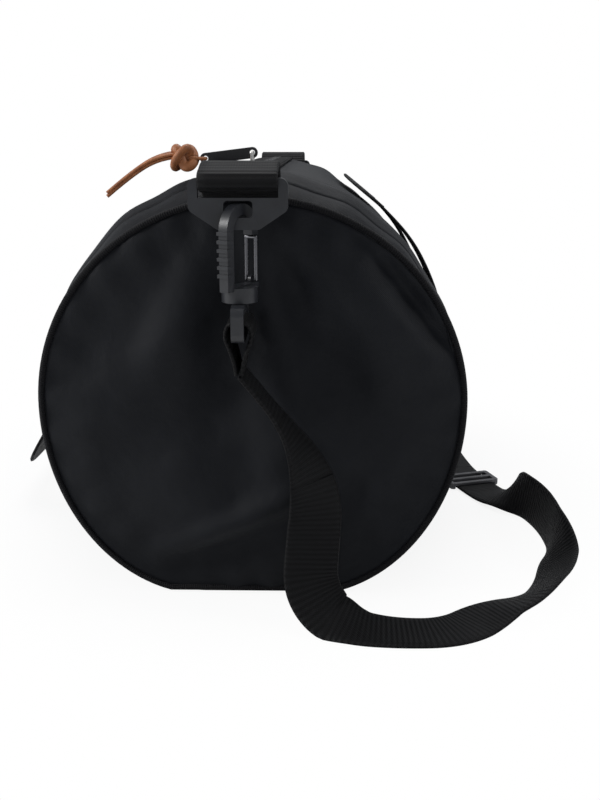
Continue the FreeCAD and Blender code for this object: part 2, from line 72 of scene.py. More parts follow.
WALL = 0.0022             # the cloth's own thickness, a little under the solid panels'
PANEL_MIDDLE_Z = 0.139


# ---- materials ----
def shader(name, colour, rough, **sockets):
    """A Principled material and its node tree, with constant values on the shader's own sockets."""
    mat = bpy.data.materials.new(name)
    mat.use_nodes = True
    tree = mat.node_tree
    bsdf = tree.nodes["Principled BSDF"]
    bsdf.inputs["Base Color"].default_value = (*colour, 1)
    bsdf.inputs["Roughness"].default_value = rough
    for key, value in sockets.items():
        bsdf.inputs[key.replace("_", " ")].default_value = value
    return mat, tree, bsdf


def node(tree, kind, **values):
    made = tree.nodes.new(kind)
    for key, value in values.items():
        if hasattr(made, key):
            setattr(made, key, value)
        else:
            made.inputs[key.replace("_", " ")].default_value = value
    return made


def maths(tree, operation, a, b):
    made = node(tree, "ShaderNodeMath", operation=operation)
    for k, value in enumerate((a, b)):
        if isinstance(value, (int, float)):
            made.inputs[k].default_value = value
        else:
            tree.links.new(value, made.inputs[k])
    return made.outputs[0]


def bump(tree, bsdf, height, strength, distance, under=None):
    made = node(tree, "ShaderNodeBump", Strength=strength, Distance=distance)
    tree.links.new(height, made.inputs["Height"])
    if under is not None:
        tree.links.new(under, made.inputs["Normal"])
    tree.links.new(made.outputs["Normal"], bsdf.inputs["Normal"])
    return made.outputs["Normal"]


def mottled(tree, source, dark, light, scale):
    """Slow colour variation between two shades."""
    cloud = node(tree, "ShaderNodeTexNoise", Scale=scale, Detail=4.0, Roughness=0.6)
    tree.links.new(source, cloud.inputs["Vector"])
    ramp = node(tree, "ShaderNodeValToRGB")
    ramp.color_ramp.elements[0].color = (*dark, 1)
    ramp.color_ramp.elements[1].color = (*light, 1)
    ramp.color_ramp.elements[0].position = 0.3
    ramp.color_ramp.elements[1].position = 0.7
    tree.links.new(cloud.outputs["Fac"], ramp.inputs["Fac"])
    return ramp.outputs["Color"]


def woven(tree, source, pitch_x, pitch_y):
    """Height of a plain weave: two crossed sets of rounded threads, offset by half a thread."""
    split = node(tree, "ShaderNodeSeparateXYZ")
    tree.links.new(source, split.inputs[0])
    across = maths(tree, "SINE", maths(tree, "MULTIPLY", split.outputs[0], math.tau / pitch_x), 0)
    along = maths(tree, "SINE", maths(tree, "MULTIPLY", split.outputs[1], math.tau / pitch_y), 0)
    return maths(tree, "MULTIPLY", across, along)


def cloth_material():
    mat, tree, bsdf = shader("shell_cloth", (0.0048, 0.0056, 0.0078), 0.60, Sheen_Weight=0.035,
                             Sheen_Roughness=0.4, Specular_IOR_Level=0.17)
    uv = node(tree, "ShaderNodeUVMap", uv_map="cloth")
    coords = node(tree, "ShaderNodeTexCoord")
    weave = woven(tree, uv.outputs[0], 0.0013, 0.0013)
    slub = node(tree, "ShaderNodeTexNoise", Scale=900.0, Detail=2.0)
    tree.links.new(coords.outputs["Object"], slub.inputs["Vector"])
    height = maths(tree, "ADD", weave, maths(tree, "MULTIPLY", slub.outputs["Fac"], 0.9))
    pucker = node(tree, "ShaderNodeTexNoise", Scale=55.0, Detail=5.0, Roughness=0.55)
    tree.links.new(coords.outputs["Object"], pucker.inputs["Vector"])
    soft = node(tree, "ShaderNodeBump", Strength=0.35, Distance=0.004)
    tree.links.new(pucker.outputs["Fac"], soft.inputs["Height"])
    bump(tree, bsdf, height, 0.35, 0.00022, soft.outputs["Normal"])
    colour = mottled(tree, coords.outputs["Object"], (0.0045, 0.0053, 0.0074), (0.0070, 0.0080, 0.0105), 9.0)
    # Painted shade and highlight: the colour is multiplied by the weave height, darker (0.5) in the thread
    # valleys and lighter (1.35) on the thread crowns.
    weave_shading = node(tree, "ShaderNodeMix", data_type="RGBA", blend_type="MULTIPLY")
    weave_shading.inputs[0].default_value = 0.45
    shade = node(tree, "ShaderNodeMapRange")
    shade.inputs["From Min"].default_value = -1.0
    shade.inputs["To Min"].default_value = 0.5
    shade.inputs["To Max"].default_value = 1.35
    tree.links.new(weave, shade.inputs["Value"])
    tree.links.new(colour, weave_shading.inputs[6])
    tree.links.new(shade.outputs[0], weave_shading.inputs[7])
    tree.links.new(weave_shading.outputs[2], bsdf.inputs["Base Color"])
    return mat


def lining_material():
    mat, tree, bsdf = shader("lining_cloth", (0.020, 0.020, 0.024), 0.7, Sheen_Weight=0.05)
    uv = node(tree, "ShaderNodeUVMap", uv_map="cloth")
    bump(tree, bsdf, woven(tree, uv.outputs[0], 0.0008, 0.0008), 0.25, 0.0001)
    return mat


def webbing_material(name, colour, rib, rough=0.55):
    """Ribbed webbing: cross ribs along its length, a herringbone of fine threads and firmer edges, with
    painted shade in the rib valleys and a painted highlight on the rib crowns.
    """
    mat, tree, bsdf = shader(name, colour, rough, Sheen_Weight=0.02, Sheen_Roughness=0.4,
                             Specular_IOR_Level=0.14)
    uv = node(tree, "ShaderNodeUVMap", uv_map="cloth")
    split = node(tree, "ShaderNodeSeparateXYZ")
    tree.links.new(uv.outputs[0], split.inputs[0])
    ribs = maths(tree, "SINE", maths(tree, "MULTIPLY", split.outputs[1], math.tau / rib), 0)
    fine = woven(tree, uv.outputs[0], 0.0016, rib / 2)
    height = maths(tree, "ADD", ribs, maths(tree, "MULTIPLY", fine, 0.5))
    bump(tree, bsdf, height, 0.6, 0.0004)
    # Painted shade and highlight: the colour follows the rib and thread height, darker (0.45) in the valleys
    # and lighter (1.7) on the crowns.
    shade = node(tree, "ShaderNodeMapRange")
    shade.inputs["From Min"].default_value = -1.4
    shade.inputs["From Max"].default_value = 1.4
    tree.links.new(height, shade.inputs["Value"])
    ramp = node(tree, "ShaderNodeValToRGB")
    ramp.color_ramp.elements[0].color = (colour[0] * 0.45, colour[1] * 0.45, colour[2] * 0.45, 1)
    ramp.color_ramp.elements[1].color = (colour[0] * 1.7, colour[1] * 1.7, colour[2] * 1.75, 1)
    tree.links.new(shade.outputs[0], ramp.inputs["Fac"])
    tree.links.new(ramp.outputs["Color"], bsdf.inputs["Base Color"])
    return mat


def grained_plastic(name, colour, rough, grain=0.0006):
    mat, tree, bsdf = shader(name, colour, rough, Specular_IOR_Level=0.5)
    coords = node(tree, "ShaderNodeTexCoord")
    fine = node(tree, "ShaderNodeTexNoise", Scale=1.0 / grain, Detail=2.0)
    tree.links.new(coords.outputs["Object"], fine.inputs["Vector"])
    bump(tree, bsdf, fine.outputs["Fac"], 0.18, 0.00008)
    wear = node(tree, "ShaderNodeTexNoise", Scale=110.0, Detail=6.0, Roughness=0.7)
    tree.links.new(coords.outputs["Object"], wear.inputs["Vector"])
    spread = node(tree, "ShaderNodeMapRange")
    spread.inputs["To Min"].default_value = rough - 0.10
    spread.inputs["To Max"].default_value = rough + 0.14
    tree.links.new(wear.outputs["Fac"], spread.inputs["Value"])
    tree.links.new(spread.outputs[0], bsdf.inputs["Roughness"])
    shades = [tuple(c * k for c in colour) for k in (0.8, 1.35)]
    tree.links.new(mottled(tree, coords.outputs["Object"], *shades, 80.0), bsdf.inputs["Base Color"])
    return mat


def bright_metal(name, colour, rough, scale):
    mat, tree, bsdf = shader(name, colour, rough, Metallic=1.0)
    coords = node(tree, "ShaderNodeTexCoord")
    scuff = node(tree, "ShaderNodeTexNoise", Scale=scale, Detail=6.0, Roughness=0.7)
    tree.links.new(coords.outputs["Object"], scuff.inputs["Vector"])
    spread = node(tree, "ShaderNodeMapRange")
    spread.inputs["To Min"].default_value = max(0.05, rough - 0.1)
    spread.inputs["To Max"].default_value = rough + 0.15
    tree.links.new(scuff.outputs["Fac"], spread.inputs["Value"])
    tree.links.new(spread.outputs[0], bsdf.inputs["Roughness"])
    bump(tree, bsdf, scuff.outputs["Fac"], 0.08, 0.0001)
    return mat


def leather_material():
    mat, tree, bsdf = shader("leather_tan", (0.36, 0.135, 0.050), 0.5, Specular_IOR_Level=0.4,
                             Sheen_Weight=0.05)
    coords = node(tree, "ShaderNodeTexCoord")
    grain = node(tree, "ShaderNodeTexVoronoi", Scale=1100.0)
    tree.links.new(coords.outputs["Object"], grain.inputs["Vector"])
    crease = node(tree, "ShaderNodeTexNoise", Scale=160.0, Detail=5.0)
    tree.links.new(coords.outputs["Object"], crease.inputs["Vector"])
    height = maths(tree, "ADD", grain.outputs["Distance"], crease.outputs["Fac"])
    bump(tree, bsdf, height, 0.35, 0.0003)
    shade = mottled(tree, coords.outputs["Object"], (0.20, 0.065, 0.022), (0.42, 0.160, 0.060), 120.0)
    tree.links.new(shade, bsdf.inputs["Base Color"])
    return mat


CLOTH = cloth_material()
LINING = lining_material()
WEBBING = webbing_material("webbing_ribbed", (0.0032, 0.0032, 0.0036), 0.0034)
TAPE = webbing_material("zip_tape_cloth", (0.0032, 0.0032, 0.0036), 0.0012, 0.7)
PIPING = webbing_material("piping_tape", (0.004, 0.004, 0.005), 0.0016, 0.6)
THREAD = webbing_material("stitching_thread", (0.012, 0.012, 0.014), 0.0006, 0.5)
COIL = grained_plastic("zip_coil_nylon", (0.008, 0.008, 0.009), 0.35)
PLASTIC = grained_plastic("moulded_black", (0.014, 0.015, 0.018), 0.36)
GREY_PLASTIC = grained_plastic("moulded_grey", (0.055, 0.055, 0.06), 0.45)
STEEL = bright_metal("gate_wire", (0.16, 0.16, 0.17), 0.26, 260.0)
NICKEL = bright_metal("slider_nickel", (0.78, 0.76, 0.72), 0.2, 180.0)
LACQUER = grained_plastic("pull_lacquer", (0.010, 0.010, 0.011), 0.2)
LEATHER = leather_material()


# ---- mesh helpers ----
def piece(name, verts, faces, mat, uvs=None, smooth=True):
    """A mesh object from point and face lists, with an optional UV per point."""
    mesh = bpy.data.meshes.new(name)
    mesh.from_pydata([tuple(v) for v in verts], [], faces)
    if uvs is not None:
        layer = mesh.uv_layers.new(name="cloth")
        ids = np.empty(len(mesh.loops), int)
        mesh.loops.foreach_get("vertex_index", ids)
        layer.data.foreach_set("uv", np.asarray(uvs, float)[ids].ravel())
    mesh.materials.append(mat)
    mesh.polygons.foreach_set("use_smooth", [smooth] * len(mesh.polygons))
    mesh.update()
    obj = bpy.data.objects.new(name, mesh)
    bpy.context.scene.collection.objects.link(obj)
    return obj


def grid_faces(rows, cols, wrap=False):
    faces = []
    for i in range(rows - 1):
        for k in range(cols if wrap else cols - 1):
            n = (k + 1) % cols
            faces.append((i * cols + k, i * cols + n, (i + 1) * cols + n, (i + 1) * cols + k))
    return faces


def thickened(obj, thick):
    made = obj.modifiers.new("wall", "SOLIDIFY")
    made.thickness = thick
    made.offset = -1.0
    made.use_even_offset = True
    bake(obj)
    return obj


def bake(obj):
    """Apply every modifier into the mesh."""
    view = bpy.context.view_layer
    view.update()
    solid = bpy.data.meshes.new_from_object(obj.evaluated_get(view.depsgraph))
    obj.modifiers.clear()
    obj.data = solid


def ribbon(name, points, ways, width, thick, mat, start_length=0.0, cap=True, crown=0.0):
    """Webbing with rounded edges along points; ways is its width direction at each point."""
    points = np.asarray(points, float)
    ahead = np.gradient(points, axis=0)
    ahead /= np.linalg.norm(ahead, axis=1)[:, None]
    ways = ways - ahead * np.sum(ways * ahead, axis=1)[:, None]
    ways /= np.linalg.norm(ways, axis=1)[:, None]
    ups = np.cross(ahead, ways)
    edge = thick / 2
    section = []
    across = np.linspace(-1, 1, 9)
    for a in across:
        section.append((a * (width / 2 - edge), edge + crown * (1 - a * a)))
    section.append((width / 2, 0.0))
    for a in across[::-1]:
        section.append((a * (width / 2 - edge), -edge + crown * (1 - a * a)))
    section.append((-width / 2, 0.0))
    steps = np.concatenate([[0], np.cumsum(np.linalg.norm(np.diff(points, axis=0), axis=1))]) + start_length
    verts = []
    uvs = []
    for p, w, u, s in zip(points, ways, ups, steps):
        for a, b in section:
            verts.append(p + w * a + u * b)
            uvs.append((a, s))
    cols = len(section)
    faces = grid_faces(len(points), cols, wrap=True)
    if cap:
        faces.append(tuple(range(cols))[::-1])
        faces.append(tuple(range((len(points) - 1) * cols, len(points) * cols)))
    obj = piece(name, verts, faces, mat, uvs)
    outward(obj)
    return obj


def outward(obj):
    work = bmesh.new()
    work.from_mesh(obj.data)
    bmesh.ops.recalc_face_normals(work, faces=work.faces)
    work.to_mesh(obj.data)
    work.free()


def smooth_path(points, count=80, order=3):
    """Points read from a NURBS spline that has these control points."""
    curve = bpy.data.curves.new("route", "CURVE")
    curve.dimensions = "3D"
    spline = curve.splines.new("NURBS")
    spline.points.add(len(points) - 1)
    for slot, point in zip(spline.points, points):
        slot.co = (*point, 1)
    spline.order_u = order
    spline.use_endpoint_u = True
    spline.resolution_u = 12
    holder = bpy.data.objects.new("route", curve)
    bpy.context.scene.collection.objects.link(holder)
    bpy.context.view_layer.update()
    mesh = bpy.data.meshes.new_from_object(holder)
    line = np.array([v.co[:] for v in mesh.vertices])
    bpy.data.objects.remove(holder)
    return evenly(line, count)


def evenly(line, count):
    gone = np.concatenate([[0], np.cumsum(np.linalg.norm(np.diff(line, axis=0), axis=1))])
    at = np.linspace(0, gone[-1], count)
    return np.stack([np.interp(at, gone, line[:, k]) for k in range(3)], axis=1)


def length_of(line):
    return float(np.linalg.norm(np.diff(line, axis=0), axis=1).sum())


def mixed(a, b, share):
    return a + (b - a) * share


def ease(x, low, high):
    t = min(1.0, max(0.0, (x - low) / (high - low)))
    return t * t * (3 - 2 * t)


# ---- shell cloth ----
SIDE_STEPS = 240


def half_outline(y):
    """Points from the roof's middle down the right side to the middle of the foot, at y."""
    share = max(0.0, (abs(y) - (HALF_LENGTH - TAPER)) / TAPER)
    share = share ** 1.3
    half = HALF_WIDTH - END_INSET * share
    top = ROOF_Z - (ROOF_Z - END_ROOF_Z) * share
    line = []
    for k in range(SIDE_STEPS):
        a = math.pi / 2 * (1 - k / SIDE_STEPS)
        line.append((half * math.cos(a), WIDEST_Z + (top - WIDEST_Z) * math.sin(a)))
    for k in range(SIDE_STEPS + 1):
        a = math.pi / 2 * (1 - k / SIDE_STEPS)
        x = BASE_HALF + (half - BASE_HALF) * math.sin(a)
        line.append((x, WIDEST_Z * (1 - math.cos(a))))
    line.append((0.0, 0.0))
    return np.array(line)


def slack(x, y, z):
    """How far the cloth stands off its plain outline: sags, puckers by the end seams, soft dents."""
    near_end = 1 - ease(HALF_LENGTH - abs(y), 0.0, 0.09)
    hold = ease(HALF_LENGTH - abs(y), 0.0, 0.03) * ease(z, 0.004, 0.05)
    angle = math.atan2(z - WIDEST_Z, x)
    pucker = math.sin(angle * 17 + 3 * noise.noise((x * 9, y * 6, z * 9))) * 0.0011 * near_end
    slow = noise.noise((x * 7 + 3, y * 6.5, z * 8)) * 0.0042
    mid = noise.noise((x * 19, y * 15 + 5, z * 19)) * 0.0016
    long_fold = -0.003 * math.exp(-((y + 0.02) / 0.1) ** 2) * ease(z, 0.16, 0.24) * (1 - ease(z, 0.27, 0.293))
    seam_ridge = 0.0012 * math.exp(-((HALF_LENGTH - abs(y) - 0.009) / 0.0035) ** 2)
    roof_hold = 1 - 0.85 * ease(z, 0.27, 0.292)
    return (slow + mid + long_fold) * hold * roof_hold + (pucker + seam_ridge) * ease(z, 0.004, 0.03)


def cloth_patch(name, way, y_range, part_range, body, step=0.0042):
    """A stretch of the barrel. part_range is (start, end) along the half outline as tests on its points."""
    y0, y1 = y_range
    ys = np.linspace(y0, y1, max(3, int(round((y1 - y0) / step)) + 1))
    verts = []
    uvs = []
    cols = None
    for y in ys:
        line = half_outline(y)
        start, end = part_range(line)
        gone = np.concatenate([[0], np.cumsum(np.linalg.norm(np.diff(line, axis=0), axis=1))])
        s0, s1 = np.interp(start, np.arange(len(gone)), gone), np.interp(end, np.arange(len(gone)), gone)
        if cols is None:
            cols = max(4, int(round((s1 - s0) / step)) + 1)
        at = np.linspace(s0, s1, cols)
        xs = np.interp(at, gone, line[:, 0])
        zs = np.interp(at, gone, line[:, 1])
        dx = np.interp(at + 1e-4, gone, line[:, 0]) - np.interp(at - 1e-4, gone, line[:, 0])
        dz = np.interp(at + 1e-4, gone, line[:, 1]) - np.interp(at - 1e-4, gone, line[:, 1])
        norm = np.hypot(dx, dz)
        nx, nz = -dz / norm, dx / norm
        for s, x, z, a, b in zip(at, xs, zs, nx, nz):
            off = slack(way * x, y, z)
            verts.append((way * (x + a * off), y, max(z + b * off, 0.0)))
            uvs.append((s, y))
    faces = grid_faces(len(ys), cols)
    if way < 0:
        faces = [f[::-1] for f in faces]
    obj = piece(name, verts, faces, CLOTH, uvs)
    obj.data.materials.append(LINING)
    made = obj.modifiers.new("wall", "SOLIDIFY")
    made.thickness = WALL
    made.offset = -1.0
    made.material_offset = 1
    made.material_offset_rim = 0
    bake(obj)
    if body:
        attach(obj, body)
    return obj


def index_at_z(line, z):
    """Fractional index on the outline where it comes down past height z."""
    return float(np.interp(-z, -line[:, 1], np.arange(len(line))))


def index_at_x(line, x):
    upper = line[:SIDE_STEPS]
    return float(np.interp(x, upper[:, 0], np.arange(len(upper))))


def from_lip_to_fold(line):
    return index_at_x(line, LIP_GAP), index_at_z(line, FOLD_Z)


def from_fold_to_foot(line):
    return index_at_z(line, FOLD_Z), index_at_z(line, 0.014)


def foot_part(line):
    return index_at_z(line, 0.014), len(line) - 1


def build_barrel():
    edge = HALF_LENGTH - 0.0012
    for side, way in (("left", -1), ("right", 1)):
        lower = cloth_patch(f"cloth_side_{side}", way, (-edge, edge), from_fold_to_foot, "bag")
        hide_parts(f"side_panel_{side}")
        foot = cloth_patch(f"cloth_base_{side}", way, (-edge, edge), foot_part, "bag")
        if way > 0:
            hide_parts("base_panel")
        lip = cloth_patch(f"cloth_lip_{side}", way, (-LIP_RIGID, LIP_RIGID), from_lip_to_fold,
                          f"mouth_{side}")
        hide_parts(f"lip_{side}")
        for end, s in (("near", -1), ("far", 1)):
            ys = sorted((s * LIP_RIGID, s * LIP_HALF))
            corner = cloth_patch(f"cloth_lip_{side}_{end}", way, ys, from_lip_to_fold, None)
            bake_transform(corner)
            ys = sorted((s * LIP_HALF, s * GARAGE_END))
            cloth_patch(f"cloth_garage_{side}_{end}", way, ys, from_lip_to_fold, "bag")
            ys = sorted((s * GARAGE_END, s * edge))
            gusset = cloth_patch(f"cloth_gusset_{side}_{end}", way, ys, gusset_part, "bag")
            if way > 0:
                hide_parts(f"roof_gusset_{end}")


def gusset_part(line):
    return index_at_x(line, 0.0005), index_at_z(line, FOLD_Z)


def ridge(x, z, at_x, at_z, degrees, length, width):
    """A soft ridge centred at a point, running at an angle to the floor."""
    a = math.radians(degrees)
    along = (x - at_x) * math.cos(a) + (z - at_z) * math.sin(a)
    over = -(x - at_x) * math.sin(a) + (z - at_z) * math.cos(a)
    return math.exp(-(over / width) ** 2) * math.exp(-(along / length) ** 2)


def end_bulge(x, z):
    """How far an end panel stands out: slack cloth, a dent under the ring, folds fanning down."""
    r = math.hypot(x / 0.144, (z - PANEL_MIDDLE_Z) / PANEL_MIDDLE_Z)
    rim = max(0.0, 1 - r ** 4)
    out = 0.006 * rim
    out += 0.010 * math.exp(-((x + 0.02) / 0.08) ** 2 - ((z - 0.070) / 0.045) ** 2) * rim
    out += 0.007 * math.exp(-((x - 0.085) / 0.035) ** 2 - ((z - 0.150) / 0.06) ** 2) * rim
    out -= 0.011 * math.exp(-((x - 0.012) / 0.040) ** 2 - ((z - 0.175) / 0.06) ** 2) * rim
    out -= 0.006 * math.exp(-((x + 0.085) / 0.03) ** 2 - ((z - 0.155) / 0.06) ** 2) * rim
    fan = math.atan2(x + 0.004, 0.300 - z)
    reach = math.hypot(x + 0.004, 0.300 - z)
    fold = math.sin(fan * 10.5 + 1.4 * noise.noise((x * 14, 2.0, z * 12)))
    out += fold * 0.0068 * rim * ease(reach, 0.03, 0.10) * (1 - 0.85 * ease(reach, 0.15, 0.25))
    out += 0.0110 * ridge(x, z, -0.030, 0.050, 25, 0.075, 0.010) * rim
    out -= 0.0100 * ridge(x, z, -0.022, 0.032, 25, 0.080, 0.012) * rim
    out += 0.0050 * ridge(x, z, 0.090, 0.080, 62, 0.040, 0.010) * rim
    out -= 0.0080 * ridge(x, z, 0.108, 0.212, -52, 0.040, 0.006)
    out += 0.0045 * ridge(x, z, 0.100, 0.200, -50, 0.045, 0.010)
    out += 0.0045 * ridge(x, z, -0.080, 0.215, 58, 0.050, 0.012) * rim
    out += noise.noise((x * 20, 7.0, z * 18)) * 0.0045 * rim
    out += noise.noise((x * 46, 1.0, z * 42)) * 0.0014 * rim
    angle = math.atan2(z - PANEL_MIDDLE_Z, x)
    gather = math.sin(angle * 29 + 2 * noise.noise((x * 10, 0, z * 10)))
    out += gather * 0.0010 * ease(r, 0.72, 0.93) * (1 - ease(r, 0.97, 1.0))
    return out


def build_end_panels():
    rings = 44
    around = 150
    line = half_outline(HALF_LENGTH)
    gone = np.concatenate([[0], np.cumsum(np.linalg.norm(np.diff(line, axis=0), axis=1))])
    at = np.linspace(0, gone[-1], around // 2 + 1)
    right = np.stack([np.interp(at, gone, line[:, 0]), np.interp(at, gone, line[:, 1])], axis=1)
    left = right[1:-1][::-1] * [-1, 1]
    rim = np.concatenate([right, left])
    centre = np.array([0.0, PANEL_MIDDLE_Z])
    for end, way in (("near", -1), ("far", 1)):
        verts = [(centre[0], way * (HALF_LENGTH + end_bulge(0, PANEL_MIDDLE_Z)), centre[1])]
        for k in range(1, rings + 1):
            share = (k / rings) ** 0.93
            for p in rim:
                x, z = mixed(centre, p, share)
                off = end_bulge(-way * x, z)
                verts.append((x, way * (HALF_LENGTH - 0.0006 + off), z))
        n = len(rim)
        faces = [(0, 1 + k, 1 + (k + 1) % n) for k in range(n)]
        for ring in range(rings - 1):
            for k in range(n):
                a = 1 + ring * n + k
                b = 1 + ring * n + (k + 1) % n
                faces.append((a, a + n, b + n, b))
        uvs = [(v[0], v[2]) for v in verts]
        if way > 0:
            faces = [f[::-1] for f in faces]
        obj = piece(f"cloth_end_{end}", verts, faces, CLOTH, uvs)
        first = obj.data.polygons[len(obj.data.polygons) // 2].normal
        if first.y * way < 0:
            obj.data.flip_normals()
        obj.data.materials.append(LINING)
        made = obj.modifiers.new("wall", "SOLIDIFY")
        made.thickness = WALL
        made.offset = -1.0
        made.material_offset = 1
        made.material_offset_rim = 0
        bake(obj)
        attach(obj, "bag")
        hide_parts(f"end_panel_{end}")
        welt(end, way, rim)


def tube(name, points, radius, mat, closed=False, sides=10, flatten=1.0):
    """A round or oval bead along points."""
    points = np.asarray(points, float)
    if closed:
        ahead = np.roll(points, -1, axis=0) - np.roll(points, 1, axis=0)
    else:
        ahead = np.gradient(points, axis=0)
    ahead /= np.linalg.norm(ahead, axis=1)[:, None]
    seed = np.array([0.0, 1.0, 0.0]) if abs(ahead[0][1]) < 0.9 else np.array([1.0, 0.0, 0.0])
    verts = []
    uvs = []
    way = seed
    gone = 0.0
    before = points[0]
    for p, t in zip(points, ahead):
        way = way - t * (way @ t)
        way /= np.linalg.norm(way)
        up = np.cross(t, way)
        gone += float(np.linalg.norm(p - before))
        before = p
        for k in range(sides):
            a = math.tau * k / sides
            verts.append(p + way * radius * math.cos(a) + up * radius * flatten * math.sin(a))
            uvs.append((a * radius, gone))
    faces = grid_faces(len(points), sides, wrap=True)
    last = (len(points) - 1) * sides
    if closed:
        for k in range(sides):
            n = (k + 1) % sides
            faces.append((last + k, last + n, n, k))
    else:
        faces.append(tuple(range(sides))[::-1])
        faces.append(tuple(range(last, last + sides)))
    obj = piece(name, verts, faces, mat, uvs)
    outward(obj)
    return obj


def welt(end, way, rim):
    """Piping in the end seam, all round and clear of the floor."""
    outer = []
    for p in rim:
        off = np.array([p[0], p[1] - PANEL_MIDDLE_Z])
        off = off / np.linalg.norm(off) * 0.0013
        lift = max(p[1] + off[1], 0.0026)
        outer.append((p[0] + off[0], way * (HALF_LENGTH - 0.0012), lift))
    bead = tube(f"piping_bead_{end}", outer, 0.0024, PIPING, closed=True, sides=12)
    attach(bead, "bag")
    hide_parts(f"piping_{end}")


# ---- strap: the solid model's route, with the fall and the bow on the floor eased ----
FLOOR = 0.0012
STRAP_ROUTE = [(-0.005, -0.288, 0.1706), (0.014, -0.288, 0.148), (0.034, -0.290, 0.118),
               (0.045, -0.294, 0.086), (0.042, -0.298, 0.052), (0.040, -0.306, 0.024),
               (0.060, -0.318, 0.004), (0.098, -0.322, FLOOR), (0.136, -0.320, FLOOR),
               (0.164, -0.296, FLOOR), (0.198, -0.288, FLOOR), (0.222, -0.248, FLOOR),
               (0.233, -0.194, FLOOR), (0.232, -0.140, FLOOR), (0.217, -0.098, FLOOR),
               (0.198, -0.054, FLOOR), (0.184, -0.010, FLOOR), (0.178, 0.038, FLOOR),
               (0.175, 0.092, FLOOR), (0.171, 0.148, FLOOR), (0.160, 0.206, FLOOR),
               (0.140, 0.250, FLOOR), (0.112, 0.276, FLOOR), (0.080, 0.288, FLOOR),
               (0.052, 0.288, FLOOR), (0.030, 0.288, 0.018), (0.017, 0.288, 0.048),
               (0.011, 0.288, 0.088), (0.006, 0.288, 0.130), (0.005, 0.288, 0.1706)]
STRETCHES = [("strap_neck_near", 0.0, 0.035, "swivel_near", "hook_near", 0.0),
             ("strap_drop_near", 0.035, 0.075, "hook_near", "ring_near", 0.035),
             ("strap_fall_near", 0.075, 0.460, "ring_near", "bag", 0.075),
             ("strap_mid_a", 0.460, 0.545, "bag", "adjuster", 0.460),
             ("strap_mid_b", 0.545, 0.600, "adjuster", "bag", 0.545),
             ("strap_rest", 0.600, 0.935, "bag", "ring_far", 0.850),
             ("strap_drop_far", 0.935, 0.970, "ring_far", "hook_far", 0.935),
             ("strap_neck_far", 0.970, 1.0, "hook_far", "swivel_far", 0.970)]
STRAP_CAD = {"strap_neck_near": ["strap_neck_near"], "strap_fall_near": ["strap_fall_near"],
             "strap_rest": ["strap_floor", "strap_rise_far"],
             "strap_neck_far": ["strap_neck_far"]}


def strap_ways(line):
    """Width direction: across at the eye, turning face-on in the fall, flat on the floor, and back."""
    ahead = np.gradient(line, axis=0)
    ahead /= np.linalg.norm(ahead, axis=1)[:, None]
    total = len(line) - 1
    ways = []
    for k, t in enumerate(ahead):
        share = k / total
        level = np.cross((0.0, 0.0, 1.0), t)
        if np.linalg.norm(level) < 1e-6:
            level = np.array([0.0, 1.0, 0.0])
        level /= np.linalg.norm(level)
        if level[1] * t[0] < 0:
            level = -level
        flat = np.cross((0.0, 0.0, 1.0), t)
        flat /= max(1e-9, np.linalg.norm(flat))
        edge_on = np.array([0.0, 1.0, 0.0])
        face_on = np.array([0.92, 0.30, 0.10])
        upright = np.array([0.0, 0.0, -1.0])
        if share < 0.30:
            to_face = ease(share, 0.02, 0.11)
            to_floor = ease(share, 0.135, 0.215)
            way = mixed(mixed(edge_on, face_on, to_face), flat, to_floor)
            way = mixed(way, upright, 0.45 * ease(share, 0.24, 0.30))
        elif share < 0.50:
            lean = 0.45 + 0.40 * ease(share, 0.33, 0.38) - 0.85 * ease(share, 0.43, 0.49)
            way = mixed(flat, upright, lean)
        elif share > 0.80:
            to_edge = ease(share, 0.86, 0.90)
            way = mixed(flat, -edge_on if flat[1] < 0 else edge_on, to_edge)
        else:
            way = flat
        ways.append(way)
    return np.array(ways)


def build_strap():
    line = smooth_path(STRAP_ROUTE, 520)
    tilt = strap_ways(line)
    ahead = np.gradient(line, axis=0)
    ahead /= np.linalg.norm(ahead, axis=1)[:, None]
    tilt = tilt - ahead * np.sum(tilt * ahead, axis=1)[:, None]
    tilt /= np.linalg.norm(tilt, axis=1)[:, None]
    half = STRAP_WIDTH / 2
    lowest = line[:, 2] - half * np.abs(tilt[:, 2]) - WEB_THICK / 2
    line[:, 2] += np.maximum(0.0, 0.0002 - lowest)
    total = length_of(line)
    made = {}
    last = len(line) - 1
    for name, start, end, first, second, lift_off in STRETCHES:
        a, b = int(round(start * last)), int(round(end * last))
        part = line[a:b + 1]
        obj = ribbon(name, part, tilt[a:b + 1], STRAP_WIDTH, WEB_THICK, WEBBING, start_length=start * total)
        made[name] = (obj, part)
        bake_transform(obj)
        for cad in STRAP_CAD.get(name, []):
            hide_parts(cad)
    return made, line


def sewn_loop(end, way):
    """The strap's end round the eye's bottom rod and its fold."""
    x = way * -HARDWARE_X
    y = way * -RING_Y
    eye_z = sum(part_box(f"strap_loop_{end}")[k][2] for k in (0, 1)) / 2
    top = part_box(f"strap_loop_{end}")[1][2] - WEB_THICK / 2
    low = 0.172
    points = [(x - 0.0016, y, low), (x - 0.0022, y, low + 0.006), (x - 0.0060, y, eye_z + 0.001),
              (x - 0.0088, y, top - 0.009), (x - 0.0072, y, top - 0.0005), (x, y, top + 0.0010),
              (x + 0.0072, y, top - 0.0005), (x + 0.0088, y, top - 0.009), (x + 0.0060, y, eye_z + 0.001),
              (x + 0.0022, y, low + 0.006), (x + 0.0016, y, low)]
    line = smooth_path(points, 70)
    ways = np.tile((0.0, 1.0, 0.0), (len(line), 1))
    loop = ribbon(f"strap_eye_loop_{end}", line, ways, STRAP_WIDTH, WEB_THICK, WEBBING)
    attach(loop, f"swivel_{end}")
    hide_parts(f"strap_loop_{end}")
    return loop


